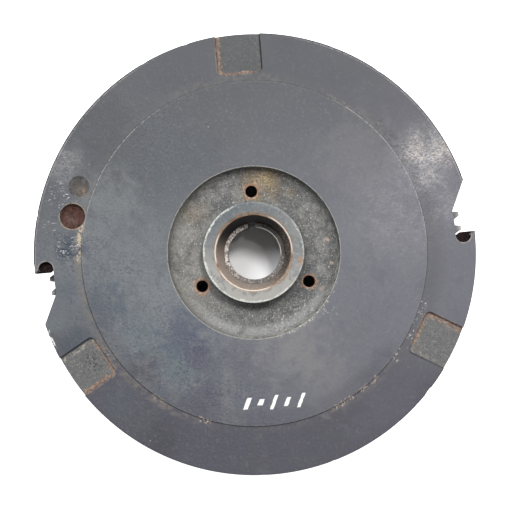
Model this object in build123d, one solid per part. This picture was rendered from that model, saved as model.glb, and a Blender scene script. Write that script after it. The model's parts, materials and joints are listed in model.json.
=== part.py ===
"""Magneto flywheel of an outboard engine: cast iron wheel, starter ring gear and its magnets.

Millimetres. The origin is on the crank axis, in the plane of the skirt's lower rim. +Z points
out of the front face, and +Y runs through the first puller hole.
"""

import os
from math import cos, radians, sin, tan

from build123d import *

# Overall
RIM_R = 124.0          # outside of the rim
RING_Z = 50.0          # machined ring of the front face
BOSS_Z = 56.0          # top of the hub boss
EDGE = 0.6             # small machined chamfer on turned corners

# Front face
DISC_R, DISC_Z = 96.7, 50.8      # raised inner disc
DISH_R, DISH_Z = 48.3, 43.0      # dish around the boss, at its edge and on its floor
DISH_FILLET = 7.0
BOSS_R = 28.2
BOSS_FILLET = 2.5

# Nut counterbore, washer seat and taper for the crankshaft
MOUTH_R = 21.8                   # outer edge of the counterbore's chamfer
NUT_WALL_R = 20.7                # counterbore below the chamfer
SEAT_R, SEAT_Z = 17.6, 34.0      # washer seat
TAPER_R = 14.85                  # small end of the taper, at the seat
TAPER = 1 / 8                    # on diameter
KEY_W = 4.0
KEY_DEPTH = 3.2                  # beyond the taper's small end
KEY_ANGLE = 93.5

# Rim, rope channel, ring gear seat and skirt
FLANGE_Z = 41.0                  # underside of the rim flange
CHANNEL_R = 111.0                # bottom of the rope channel
GEAR_TOP_Z = 33.0
GEAR_T = 12.0
GEAR_SEAT_R = 108.0
SKIRT_R = 107.4
SKIRT_BORE_R = 98.0
LEDGE_R, LEDGE_Z = 88.0, 30.0    # ledge that the magnets are clamped against
WEB_Z = 39.0                     # underside of the outer web
HUB_WEB_R, HUB_WEB_Z = 50.0, 33.0
HUB_R = 28.0                     # hub under the web
NOSE_R, NOSE_Z = 24.0, 14.0      # reduced nose that carries the trigger magnets
HUB_END_Z = 3.0

# Puller holes
PULLER_COUNT = 3
PULLER_PCD = 69.85
PULLER_R = 3.4
PULLER_PHASE = 90.0

# Straight-sided recesses cast into the rim
PAD_COUNT = 3
PAD_PHASE = 91.7
PAD_W = 25.4
PAD_IN_R = 101.0
PAD_DEPTH = 2.6
PAD_CORNER = 3.2

# Rope notches, each from its radial hook edge round to the end of its ramp
HOOK_ANGLES = (3.0, 182.8)
NOTCH_R = 113.3
NOTCH_FLAT = 6.1                 # degrees of inner arc before the ramp
NOTCH_SPAN = 13.5
POCKET_R = 4.2                   # knot pocket in the top of the hook
POCKET_CENTRE_R = 117.4
POCKET_LAG = 0.9                 # degrees from the hook edge back to the pocket's centre
POCKET_DEPTH = 4.5
SLIT_R = 116.3                   # rope slit beside the pocket floor
SLIT_LAG = 1.1

# Balance drilling, and the shallow dimple of a second one that was started beside it
DRILLING_R, DRILLING_ANGLE = 104.2, 166.0
DRILL_R, DRILL_DEPTH = 7.1, 3.0  # depth of the full diameter
DRILL_POINT = 118.0              # included angle of the drill's tip
DIMPLE_CENTRE_R, DIMPLE_ANGLE = 105.4, 156.6
DIMPLE_R, DIMPLE_DEPTH = 6.0, 1.4

# Ring gear
TEETH = 92
GEAR_PHASE = 4.45
TIP_R = 119.4
ROOT_R = 113.7
TIP_W = 2.2
DRIVE_FLANK = 28.0               # degrees from radial, on the side towards the hook
COAST_FLANK = 12.0
GEAR_LEAD_IN = 1.6               # chamfer on the lower ends of the teeth
GEAR_TOP_BREAK = 0.5

# Magnets
MAGNETS = 6
MAGNET_IN_R = 89.6
MAGNET_Z = (7.0, 30.0)
SPACER_SPAN = 10.0
LINER_T = 0.6
KEEPER_T = 3.0
KEEPER_IN_R = 87.5
KEEPER_SCREW_R, KEEPER_HEAD_R, KEEPER_HEAD_H = 2.0, 3.6, 2.4
KEEPER_SCREW_BITE = 7.0
KEEPER_SCREW_PCD_R = 93.8

# Trigger magnets on the hub's nose
CARRIER_R = 31.4
CARRIER_Z = (4.6, 14.0)
TRIGGER_MAGNETS = 2
TRIGGER_SPAN = 64.0
TRIGGER_IN_R = 28.6
TRIGGER_Z = (6.2, 12.4)
CARRIER_SCREWS = 3
CARRIER_SCREW_R, CARRIER_HEAD_R, CARRIER_HEAD_H = 1.25, 2.0, 1.4
CARRIER_SCREW_PCD_R = 26.1
CARRIER_SCREW_BITE = 6.0

PAST = 4.0                       # how far a cutter runs past the surface it cuts


def polar(radius, degrees):
    return (radius * cos(radians(degrees)), radius * sin(radians(degrees)))


def turned(points):
    """Solid of revolution about Z from (radius, height, corner radius) points in order."""
    outline = make_face(Polyline(*[(r, z) for r, z, _ in points], close=True).edges())
    for r, z, corner in points:
        if corner:
            nearest = outline.vertices().sort_by_distance((r, z))[0]
            outline = fillet(nearest, corner)
    return revolve(Plane.XZ * outline, Axis.Z)


def ring(inner, outer, z_low, z_high):
    return turned([(inner, z_low, 0), (outer, z_low, 0), (outer, z_high, 0), (inner, z_high, 0)])


def sector_face(inner, outer, centre, span):
    """Flat ring sector in the XY plane."""
    a, b = centre - span / 2, centre + span / 2
    edges = [
        ThreePointArc(polar(inner, a), polar(inner, centre), polar(inner, b)),
        Line(polar(inner, b), polar(outer, b)),
        ThreePointArc(polar(outer, b), polar(outer, centre), polar(outer, a)),
        Line(polar(outer, a), polar(inner, a)),
    ]
    return make_face(edges)


def sector(inner, outer, centre, span, z_low, z_high):
    face = sector_face(inner, outer, centre, span)
    return extrude(Pos(0, 0, z_low) * face, z_high - z_low)


def post(radius, centre_r, angle, z_low, z_high):
    """Upright cylinder."""
    x, y = polar(centre_r, angle)
    return Pos(x, y, (z_low + z_high) / 2) * Cylinder(radius, z_high - z_low)


def wheel_blank():
    """The turned casting before anything is cut across it."""
    flare_z = LEDGE_Z + 4
    taper_end_r = TAPER_R + (SEAT_Z - HUB_END_Z) * TAPER / 2
    return turned([
        (taper_end_r + EDGE, HUB_END_Z, 0),
        (NOSE_R - EDGE, HUB_END_Z, 0),
        (NOSE_R, HUB_END_Z + EDGE, 0),
        (NOSE_R, NOSE_Z, 0),
        (HUB_R, NOSE_Z, 0),
        (HUB_R, HUB_WEB_Z, 2.0),
        (HUB_WEB_R, HUB_WEB_Z, 4.0),
        (HUB_WEB_R + 8, WEB_Z, 4.0),
        (LEDGE_R - 4, WEB_Z, 3.0),
        (LEDGE_R, flare_z, 1.0),
        (LEDGE_R, LEDGE_Z, 0),
        (SKIRT_BORE_R, LEDGE_Z, 0),
        (SKIRT_BORE_R, EDGE, 0),
        (SKIRT_BORE_R + EDGE, 0, 0),
        (SKIRT_R - EDGE, 0, 0),
        (SKIRT_R, EDGE, 0),
        (SKIRT_R, GEAR_TOP_Z - GEAR_T - 1.5, 0),
        (GEAR_SEAT_R, GEAR_TOP_Z - GEAR_T, 0),
        (GEAR_SEAT_R, GEAR_TOP_Z, 0),
        (CHANNEL_R, GEAR_TOP_Z, 0),
        (CHANNEL_R, FLANGE_Z, 2.0),
        (RIM_R - EDGE, FLANGE_Z, 0),
        (RIM_R, FLANGE_Z + EDGE, 0),
        (RIM_R, RING_Z - EDGE, 0),
        (RIM_R - EDGE, RING_Z, 0),
        (DISC_R + 0.8, RING_Z, 0),
        (DISC_R, DISC_Z, 0),
        (DISH_R + 0.5, DISC_Z, 0),
        (DISH_R, DISC_Z - 0.5, 0),
        (DISH_R - 0.8, DISH_Z, DISH_FILLET),
        (BOSS_R, DISH_Z, BOSS_FILLET),
        (BOSS_R, BOSS_Z - EDGE, 0),
        (BOSS_R - EDGE, BOSS_Z, 0),
        (MOUTH_R, BOSS_Z, 0),
        (NUT_WALL_R, BOSS_Z - (MOUTH_R - NUT_WALL_R), 0),
        (SEAT_R, SEAT_Z, 0),
        (TAPER_R, SEAT_Z, 0),
        (taper_end_r, HUB_END_Z + EDGE, 0),
    ])


def notch_cutters(hook):
    """The through notch with its ramp, the knot pocket above it and the slit beside its floor."""
    knee = hook + NOTCH_FLAT
    end = hook + NOTCH_SPAN
    ramp_end = Vector(*polar(RIM_R, end))
    ramp_dir = (ramp_end - Vector(*polar(NOTCH_R, knee))).normalized()
    outline = make_face([
        ThreePointArc(polar(NOTCH_R, hook), polar(NOTCH_R, (hook + knee) / 2), polar(NOTCH_R, knee)),
        Polyline(
            polar(NOTCH_R, knee),
            ramp_end + ramp_dir * PAST,
            polar(RIM_R + 2 * PAST, hook),
            polar(NOTCH_R, hook),
        ),
    ])
    low = FLANGE_Z - PAST / 2
    through = extrude(Pos(0, 0, low) * outline, DISC_Z + PAST - low)

    lag = hook - POCKET_LAG
    floor = RING_Z - POCKET_DEPTH
    mouth = make_face(Polyline(
        polar(POCKET_CENTRE_R - POCKET_R, lag),
        polar(POCKET_CENTRE_R + POCKET_R, lag),
        polar(RIM_R + 0.4, hook),
        polar(NOTCH_R, hook + 0.2),
        polar(NOTCH_R, hook),
        close=True,
    ))
    pocket = post(POCKET_R, POCKET_CENTRE_R, lag, floor, DISC_Z + PAST)
    pocket += extrude(Pos(0, 0, floor) * mouth, DISC_Z + PAST - floor)

    slit_face = make_face(Polyline(
        polar(SLIT_R, hook),
        polar(SLIT_R, hook + 0.3),
        polar(NOTCH_R, hook + 0.3),
        polar(NOTCH_R, hook - SLIT_LAG),
        close=True,
    ))
    slit = extrude(Pos(0, 0, low) * slit_face, DISC_Z - low)
    return [through, pocket, slit]


def pad_cutter(centre):
    """Straight-sided recess, open at the rim, with rounded inner corners."""
    length = RIM_R + PAST - PAD_IN_R
    face = Pos(PAD_IN_R + length / 2, 0) * Rectangle(length, PAD_W)
    face = fillet(face.vertices().sort_by(Axis.X)[:2], PAD_CORNER)
    return Rot(0, 0, centre) * extrude(Pos(0, 0, RING_Z - PAD_DEPTH) * face, PAD_DEPTH + PAST)


def balance_drilling():
    """Blind drilling with its conical bottom, entered from the front face."""
    tip = DRILL_R / tan(radians(DRILL_POINT / 2))
    bit = turned([
        (0, -DRILL_DEPTH - tip, 0), (DRILL_R, -DRILL_DEPTH, 0), (DRILL_R, PAST, 0), (0, PAST, 0),
    ])
    x, y = polar(DRILLING_R, DRILLING_ANGLE)
    return Pos(x, y, RING_Z) * bit


def balance_dimple():
    """Round-bottomed hollow, as a ball would press it."""
    ball_r = (DIMPLE_R**2 + DIMPLE_DEPTH**2) / (2 * DIMPLE_DEPTH)
    x, y = polar(DIMPLE_CENTRE_R, DIMPLE_ANGLE)
    return Pos(x, y, RING_Z - DIMPLE_DEPTH + ball_r) * Sphere(ball_r)


def keyway():
    """Slot for the crank key, through the washer seat and the taper."""
    length = TAPER_R + KEY_DEPTH
    slot = Pos(length / 2, 0, (HUB_END_Z + SEAT_Z) / 2) * Box(length, KEY_W, SEAT_Z - HUB_END_Z + 2)
    return Rot(0, 0, KEY_ANGLE) * slot


def puller_hole(angle):
    """Tapped hole with a small countersink at its mouth."""
    mouth = turned([
        (0, DISH_Z - EDGE, 0), (PULLER_R, DISH_Z - EDGE, 0),
        (PULLER_R + EDGE + 0.5, DISH_Z + 0.5, 0), (0, DISH_Z + 0.5, 0),
    ])
    x, y = polar(PULLER_PCD / 2, angle)
    return post(PULLER_R, PULLER_PCD / 2, angle, HUB_WEB_Z - PAST, DISH_Z + PAST) + Pos(x, y, 0) * mouth


def spacer_angle(i):
    return PULLER_PHASE + i * 360 / MAGNETS


def magnet_angle(i):
    return spacer_angle(i + 0.5)


def carrier_screw_angle(i):
    return PULLER_PHASE + 60 + i * 360 / CARRIER_SCREWS


def keeper_screw(i):
    """Pan-head screw from below, up through the keeper ring and a spacer into the ledge."""
    low = MAGNET_Z[0] - LINER_T - KEEPER_T
    head = post(KEEPER_HEAD_R, KEEPER_SCREW_PCD_R, spacer_angle(i), low - KEEPER_HEAD_H, low)
    drive = post(1.2, KEEPER_SCREW_PCD_R, spacer_angle(i), low - KEEPER_HEAD_H, low - 0.9)
    rod = post(KEEPER_SCREW_R, KEEPER_SCREW_PCD_R, spacer_angle(i), low, LEDGE_Z + KEEPER_SCREW_BITE)
    return head + rod - drive


def keeper_screw_hole(i):
    return post(
        KEEPER_SCREW_R, KEEPER_SCREW_PCD_R, spacer_angle(i), -PAST, LEDGE_Z + KEEPER_SCREW_BITE
    )


def carrier_screw(i):
    """Cheese-head screw from below through the trigger carrier into the hub's shoulder."""
    angle = carrier_screw_angle(i)
    head_top = CARRIER_Z[0] + CARRIER_HEAD_H
    head = post(CARRIER_HEAD_R, CARRIER_SCREW_PCD_R, angle, CARRIER_Z[0], head_top)
    drive = post(0.8, CARRIER_SCREW_PCD_R, angle, CARRIER_Z[0], CARRIER_Z[0] + 0.8)
    rod = post(
        CARRIER_SCREW_R, CARRIER_SCREW_PCD_R, angle, head_top, NOSE_Z + CARRIER_SCREW_BITE
    )
    return head + rod - drive


def carrier_screw_hole(i):
    angle = carrier_screw_angle(i)
    seat_top = CARRIER_Z[0] + CARRIER_HEAD_H
    shank = post(CARRIER_SCREW_R, CARRIER_SCREW_PCD_R, angle, seat_top, NOSE_Z + CARRIER_SCREW_BITE)
    return shank + post(CARRIER_HEAD_R, CARRIER_SCREW_PCD_R, angle, CARRIER_Z[0], seat_top)


def flywheel_body():
    body = wheel_blank()
    cutters = [keyway(), balance_drilling(), balance_dimple()]
    for i in range(PULLER_COUNT):
        cutters.append(puller_hole(PULLER_PHASE + i * 360 / PULLER_COUNT))
    for i in range(PAD_COUNT):
        cutters.append(pad_cutter(PAD_PHASE + i * 360 / PAD_COUNT))
    for hook in HOOK_ANGLES:
        cutters += notch_cutters(hook)
    for i in range(MAGNETS):
        cutters.append(keeper_screw_hole(i))
    for i in range(CARRIER_SCREWS):
        cutters.append(
            post(
                CARRIER_SCREW_R, CARRIER_SCREW_PCD_R, carrier_screw_angle(i),
                NOSE_Z - 1, NOSE_Z + CARRIER_SCREW_BITE,
            )
        )
    for cutter in cutters:
        body -= cutter
    return body


def ring_gear():
    """Toothed ring: each tooth is a flat tip between a drive flank and a coast flank."""
    low = GEAR_TOP_Z - GEAR_T
    height = TIP_R - ROOT_R
    drive = TIP_W / 2 + height * tan(radians(DRIVE_FLANK))
    coast = TIP_W / 2 + height * tan(radians(COAST_FLANK))
    points = []
    for i in range(TEETH):
        turn = Rot(0, 0, GEAR_PHASE + i * 360 / TEETH)
        corners = ((ROOT_R, -drive), (TIP_R, -TIP_W / 2), (TIP_R, TIP_W / 2), (ROOT_R, coast))
        points += [(turn * Pos(x, y, 0)).position for x, y in corners]
    toothed = extrude(Pos(0, 0, low) * make_face(Polyline(*points, close=True).edges()), GEAR_T)
    envelope = turned([
        (GEAR_SEAT_R, low, 0),
        (TIP_R - GEAR_LEAD_IN * 1.6, low, 0),
        (TIP_R + 0.1, low + GEAR_LEAD_IN, 0),
        (TIP_R + 0.1, GEAR_TOP_Z - GEAR_TOP_BREAK, 0),
        (TIP_R - GEAR_TOP_BREAK, GEAR_TOP_Z, 0),
        (GEAR_SEAT_R, GEAR_TOP_Z, 0),
    ])
    return toothed & envelope


def charging_magnet(i):
    span = 360 / MAGNETS - SPACER_SPAN
    return sector(MAGNET_IN_R, SKIRT_BORE_R, magnet_angle(i), span, *MAGNET_Z)


def magnet_spacer(i):
    block = sector(MAGNET_IN_R, SKIRT_BORE_R, spacer_angle(i), SPACER_SPAN, *MAGNET_Z)
    return block - keeper_screw_hole(i)


def magnet_liner():
    """Thin sleeve over the magnets' inner faces, with a flange under their lower ends."""
    low = MAGNET_Z[0] - LINER_T
    liner = turned([
        (MAGNET_IN_R - LINER_T, low, 0),
        (SKIRT_BORE_R, low, 0),
        (SKIRT_BORE_R, MAGNET_Z[0], 0),
        (MAGNET_IN_R, MAGNET_Z[0], 0),
        (MAGNET_IN_R, MAGNET_Z[1], 0),
        (MAGNET_IN_R - LINER_T, MAGNET_Z[1], 0),
    ])
    for i in range(MAGNETS):
        liner -= keeper_screw_hole(i)
    return liner


def magnet_keeper_ring():
    high = MAGNET_Z[0] - LINER_T
    keeper = turned([
        (KEEPER_IN_R, high - KEEPER_T, 0.8),
        (SKIRT_BORE_R, high - KEEPER_T, 0),
        (SKIRT_BORE_R, high, 0),
        (KEEPER_IN_R, high, 0),
    ])
    for i in range(MAGNETS):
        keeper -= keeper_screw_hole(i)
    return keeper


def trigger_magnet(i):
    return sector(
        TRIGGER_IN_R, CARRIER_R, PULLER_PHASE + i * 360 / TRIGGER_MAGNETS, TRIGGER_SPAN, *TRIGGER_Z
    )


def trigger_magnet_carrier():
    """Moulded ring round the hub's nose, with a seat for each trigger magnet in its outside."""
    carrier = ring(NOSE_R, CARRIER_R, *CARRIER_Z)
    for i in range(TRIGGER_MAGNETS):
        carrier -= trigger_magnet(i)
    for i in range(CARRIER_SCREWS):
        carrier -= carrier_screw_hole(i)
    return carrier


def write(node, shape):
    export_step(shape, f"parts/{node}.step")


def write_group(node, solids):
    write(node, Compound(children=solids))


os.makedirs("parts", exist_ok=True)
write("flywheel_body", flywheel_body())
write("ring_gear", ring_gear())
for number in range(MAGNETS):
    write(f"charging_magnet_{number + 1}", charging_magnet(number))
    write(f"magnet_spacer_{number + 1}", magnet_spacer(number))
write("magnet_liner", magnet_liner())
write("magnet_keeper_ring", magnet_keeper_ring())
write_group("magnet_keeper_screws", [keeper_screw(i) for i in range(MAGNETS)])
write("trigger_magnet_carrier", trigger_magnet_carrier())
for number in range(TRIGGER_MAGNETS):
    write(f"trigger_magnet_{number + 1}", trigger_magnet(number))
write_group("trigger_carrier_screws", [carrier_screw(i) for i in range(CARRIER_SCREWS)])
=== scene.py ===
"""Blender model of the outboard flywheel: detailed body mesh, procedural materials, light, camera.

Lengths are millimetres in the row frame until they are handed to Blender, which gets metres.
"""

import json
import math

import bpy
import numpy as np
from mathutils import Matrix, Vector, noise


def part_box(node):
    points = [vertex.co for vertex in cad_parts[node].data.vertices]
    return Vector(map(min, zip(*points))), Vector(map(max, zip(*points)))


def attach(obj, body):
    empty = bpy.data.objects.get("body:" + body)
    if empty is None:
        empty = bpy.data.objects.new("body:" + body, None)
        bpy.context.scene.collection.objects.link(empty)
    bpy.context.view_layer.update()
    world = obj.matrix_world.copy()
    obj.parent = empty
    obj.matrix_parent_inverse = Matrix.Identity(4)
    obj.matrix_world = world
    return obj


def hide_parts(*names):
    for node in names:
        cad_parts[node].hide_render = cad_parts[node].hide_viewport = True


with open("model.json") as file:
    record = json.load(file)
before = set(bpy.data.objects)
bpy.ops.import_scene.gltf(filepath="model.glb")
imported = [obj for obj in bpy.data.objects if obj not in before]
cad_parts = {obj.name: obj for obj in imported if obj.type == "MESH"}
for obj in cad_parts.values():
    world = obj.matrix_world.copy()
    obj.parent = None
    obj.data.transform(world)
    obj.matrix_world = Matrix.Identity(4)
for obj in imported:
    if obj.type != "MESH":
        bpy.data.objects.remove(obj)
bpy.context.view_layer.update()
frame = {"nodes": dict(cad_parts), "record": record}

MM = 0.001
SEGMENTS = 480                   # round the body
START = 0.1                      # bearing of its first segment, so that no cutter's side runs along one
STEP, PAD_STEP = 2.5, 1.5        # longest stretch between rings of the turned mesh and round a pad
SHARP = 32                       # degrees from which an edge is shaded sharp


def cad_size(node):
    """(outer radius, lowest z, highest z) of a node that is round about the axis, in mm."""
    low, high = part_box(node)
    return max(high.x, high.y, -low.x, -low.y) / MM, low.z / MM, high.z / MM


# Sizes that the frame gives
RIM_R, _, BOSS_Z = cad_size("flywheel_body")
TIP_R, GEAR_LOW_Z, GEAR_TOP_Z = cad_size("ring_gear")
SKIRT_BORE_R, _, _ = cad_size("magnet_keeper_ring")
_, _, NOSE_Z = cad_size("trigger_magnet_carrier")

# Sizes of the body that it doesn't give, as in the CAD model
RING_Z = 50.0
DISC_R, DISC_Z = 96.7, 50.8
DISH_R, DISH_Z, DISH_FILLET = 48.3, 43.0, 7.0
BOSS_R, BOSS_FILLET = 28.2, 2.5
MOUTH_R, NUT_WALL_R = 21.8, 20.7
SEAT_R, SEAT_Z = 17.6, 34.0
TAPER_R, TAPER = 14.85, 1 / 8
KEY_W, KEY_DEPTH, KEY_ANGLE = 4.0, 3.2, 93.5
FLANGE_Z, CHANNEL_R = 41.0, 111.0
GEAR_SEAT_R, SKIRT_R = 108.0, 107.4
LEDGE_R, LEDGE_Z = 88.0, 30.0
WEB_Z = 39.0
HUB_WEB_R, HUB_WEB_Z = 50.0, 33.0
HUB_R, NOSE_R, HUB_END_Z = 28.0, 24.0, 3.0
PULLER_PCD, PULLER_R, PULLER_ANGLES = 69.85, 3.4, [90.0 + i * 120 for i in range(3)]
THREAD_PITCH, THREAD_DEPTH = 1.25, 0.45
PAD_W, PAD_IN_R, PAD_DEPTH, PAD_CORNER = 25.4, 101.0, 2.6, 3.2
PAD_ANGLES = [91.7 + i * 120 for i in range(3)]
HOOK_ANGLES = (3.0, 182.8)
NOTCH_R, NOTCH_FLAT, NOTCH_SPAN = 113.3, 6.1, 13.5
POCKET_R, POCKET_CENTRE_R, POCKET_LAG, POCKET_DEPTH = 4.2, 117.4, 0.9, 4.5
SLIT_R, SLIT_LAG = 116.3, 1.1
DRILLING_R, DRILLING_ANGLE, DRILL_R, DRILL_DEPTH, DRILL_POINT = 104.2, 166.0, 7.1, 3.0, 118.0
DIMPLE_CENTRE_R, DIMPLE_ANGLE, DIMPLE_R, DIMPLE_DEPTH = 105.4, 156.6, 6.0, 1.4
BREAK = 0.3                      # broken edge round what is cut into the faces
PAST = 4.0                       # how far cutters stick out of the faces they cut

# Unevenness of the turned faces: depth over about 40 mm, and over 7 mm on ring, disc and dish
SLOW_RIPPLE, RING_RIPPLE, DISC_RIPPLE, DISH_RIPPLE = 0.05, 0.035, 0.015, 0.12
KNOCK_IN, KNOCK_DOWN = 1.1, 0.7  # how deep the worst knocks dent the rim's edge


# ------------ mesh helpers

def polar(radius, degrees):
    """The point at a distance and a bearing from the axis."""
    return np.array((radius * math.cos(math.radians(degrees)), radius * math.sin(math.radians(degrees))))


def swung(x, y, degrees):
    """The point turned about the axis."""
    return polar(x, degrees) + polar(y, degrees + 90)


def arc(radius, start, end, count, centre=(0, 0)):
    """Points along an arc, from one bearing to another."""
    return [np.array(centre) + polar(radius, a) for a in np.linspace(start, end, count)]


def rounded(corners, step):
    """Closed outline from (x, y, corner radius), each corner an arc, long sides cut into steps."""
    outline = []
    count = len(corners)
    for i, (x, y, radius) in enumerate(corners):
        here = np.array((x, y))
        to_last = np.array(corners[i - 1][:2]) - here
        to_next = np.array(corners[(i + 1) % count][:2]) - here
        if not radius:
            outline.append(here)
            continue
        u = to_last / np.linalg.norm(to_last)
        v = to_next / np.linalg.norm(to_next)
        half = math.acos(np.clip(u @ v, -1, 1)) / 2
        centre = here + (u + v) / np.linalg.norm(u + v) * radius / math.sin(half)
        first = here + u * radius / math.tan(half) - centre
        last = here + v * radius / math.tan(half) - centre
        turn = math.atan2(first[0] * last[1] - first[1] * last[0], first @ last)
        for t in np.linspace(0, turn, max(4, int(abs(turn) / 0.13))):
            c, s = math.cos(t), math.sin(t)
            outline.append(centre + (first[0] * c - first[1] * s, first[0] * s + first[1] * c))
    stepped = []
    for a, b in zip(outline, outline[1:] + outline[:1]):
        pieces = max(1, math.ceil(np.linalg.norm(b - a) / step))
        stepped += [a + (b - a) * k / pieces for k in range(pieces)]
    return stepped


def mesh_object(name, points, faces):
    """Object in the scene from points in mm."""
    mesh = bpy.data.meshes.new(name)
    mesh.from_pydata([tuple(p * MM for p in point) for point in points], [], faces)
    mesh.update()
    piece = bpy.data.objects.new(name, mesh)
    bpy.context.scene.collection.objects.link(piece)
    return piece


def lathe(name, outline, segments, start):
    """Closed (radius, z) outline turned about the axis, from a start angle."""
    angles = start + np.linspace(0, 2 * math.pi, segments, endpoint=False)
    rings = len(outline)
    points = [(r * math.cos(a), r * math.sin(a), z) for a in angles for r, z in outline]
    faces = []
    for s in range(segments):
        here, there = s * rings, (s + 1) % segments * rings
        for k in range(rings):
            n = (k + 1) % rings
            faces.append((here + k, there + k, there + n, here + n))
    return mesh_object(name, points, faces)


def spindle(name, outline, segments, centre):
    """Open (radius, z) outline from the axis and back to it, turned about an upright line."""
    body = outline[1:-1]
    rings = len(body)
    points = []
    for a in np.linspace(0, 2 * math.pi, segments, endpoint=False):
        points += [(centre[0] + r * math.cos(a), centre[1] + r * math.sin(a), z) for r, z in body]
    foot, top = len(points), len(points) + 1
    points += [(*centre, outline[0][1]), (*centre, outline[-1][1])]
    faces = []
    for s in range(segments):
        here, there = s * rings, (s + 1) % segments * rings
        faces += [(here + k, there + k, there + k + 1, here + k + 1) for k in range(rings - 1)]
        faces.append((foot, there, here))
        faces.append((here + rings - 1, there + rings - 1, top))
    return mesh_object(name, points, faces)


def offset(outline, by):
    """Anticlockwise closed outline moved outwards by a small distance."""
    points = np.array(outline)
    ahead = np.roll(points, -1, 0) - points
    ahead /= np.linalg.norm(ahead, axis=1)[:, None]
    normal = np.stack((ahead[:, 1], -ahead[:, 0]), 1)
    corner = normal + np.roll(normal, 1, 0)
    corner /= (1 + (normal * np.roll(normal, 1, 0)).sum(1))[:, None]
    return points + corner * by


def stack(name, outline, levels):
    """Prism through (z, offset) levels of one anticlockwise outline, with flat ends."""
    count = len(outline)
    points = [(x, y, z) for z, by in levels for x, y in offset(outline, by)]
    faces = []
    for level in range(len(levels) - 1):
        low, high = level * count, (level + 1) * count
        faces += [
            (low + k, low + (k + 1) % count, high + (k + 1) % count, high + k) for k in range(count)
        ]
    faces.append(tuple(range(count))[::-1])
    faces.append(tuple(len(points) - count + k for k in range(count)))
    return mesh_object(name, points, faces)


def cut(piece, cutters):
    """Takes all the cutters away from the piece, and uses them up."""
    group = bpy.data.collections.new("cutters")
    for cutter in cutters:
        group.objects.link(cutter)
        bpy.context.scene.collection.objects.unlink(cutter)
    bpy.context.scene.collection.children.link(group)
    boolean = piece.modifiers.new("cut", "BOOLEAN")
    boolean.operation = "DIFFERENCE"
    boolean.solver = "MANIFOLD"
    boolean.operand_type = "COLLECTION"
    boolean.collection = group
    depsgraph = bpy.context.evaluated_depsgraph_get()
    mesh = bpy.data.meshes.new_from_object(piece.evaluated_get(depsgraph))
    piece.modifiers.clear()
    piece.data = mesh
    for cutter in cutters:
        bpy.data.objects.remove(cutter)
    bpy.data.collections.remove(group)


def smooth(piece):
    """Shades the piece smooth, apart from its sharp edges."""
    mesh = piece.data
    mesh.polygons.foreach_set("use_smooth", [True] * len(mesh.polygons))
    mesh.set_sharp_from_angle(angle=math.radians(SHARP))


# ------------ flywheel body

def body_outline():
    """Half section of the wheel: (radius, z, corner radius), the hub's lower end first."""
    taper_end_r = TAPER_R + (SEAT_Z - HUB_END_Z) * TAPER / 2
    return [
        (taper_end_r, HUB_END_Z, 0.5), (NOSE_R, HUB_END_Z, 0.5),
        (NOSE_R, NOSE_Z, 0), (HUB_R, NOSE_Z, 0.4),
        (HUB_R, HUB_WEB_Z, 2.0), (HUB_WEB_R, HUB_WEB_Z, 4.0),
        (HUB_WEB_R + 8, WEB_Z, 4.0), (LEDGE_R - 4, WEB_Z, 3.0),
        (LEDGE_R, LEDGE_Z + 4, 1.0), (LEDGE_R, LEDGE_Z, 0.3),
        (SKIRT_BORE_R, LEDGE_Z, 0), (SKIRT_BORE_R, 0, 0.5),
        (SKIRT_R, 0, 0.5), (SKIRT_R, GEAR_LOW_Z - 1.5, 0),
        (GEAR_SEAT_R, GEAR_LOW_Z, 0), (GEAR_SEAT_R, GEAR_TOP_Z, 0),
        (CHANNEL_R, GEAR_TOP_Z, 0.3), (CHANNEL_R, FLANGE_Z, 2.0),
        (RIM_R, FLANGE_Z, 0.5), (RIM_R, RING_Z, 0.5),
        (DISC_R + 0.35, RING_Z, 0.15), (DISC_R, DISC_Z, 0.25),
        (DISH_R, DISC_Z, 0.35), (DISH_R - 0.8, DISH_Z, DISH_FILLET),
        (BOSS_R, DISH_Z, BOSS_FILLET), (BOSS_R, BOSS_Z, 0.5),
        (MOUTH_R, BOSS_Z, 0.2), (NUT_WALL_R, BOSS_Z - (MOUTH_R - NUT_WALL_R), 0.3),
        (SEAT_R, SEAT_Z, 0.4), (TAPER_R, SEAT_Z, 0.3),
    ]


def pad_cutter(centre):
    """Straight-sided cast recess with draft and rounded inner corners."""
    beyond = RIM_R + PAST
    corners = [
        (PAD_IN_R, PAD_W / 2, PAD_CORNER), (PAD_IN_R, -PAD_W / 2, PAD_CORNER),
        (beyond, -PAD_W / 2, 0), (beyond, PAD_W / 2, 0),
    ]
    outline = [swung(x, y, centre) for x, y in rounded(corners, PAD_STEP)]
    floor = RING_Z - PAD_DEPTH
    return stack("pad", outline, [
        (floor, -0.7), (floor + 0.25, -0.3), (floor + 0.8, -0.1),
        (RING_Z - BREAK, 0), (RING_Z, BREAK), (RING_Z + PAST, BREAK + 0.2),
    ])


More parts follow.
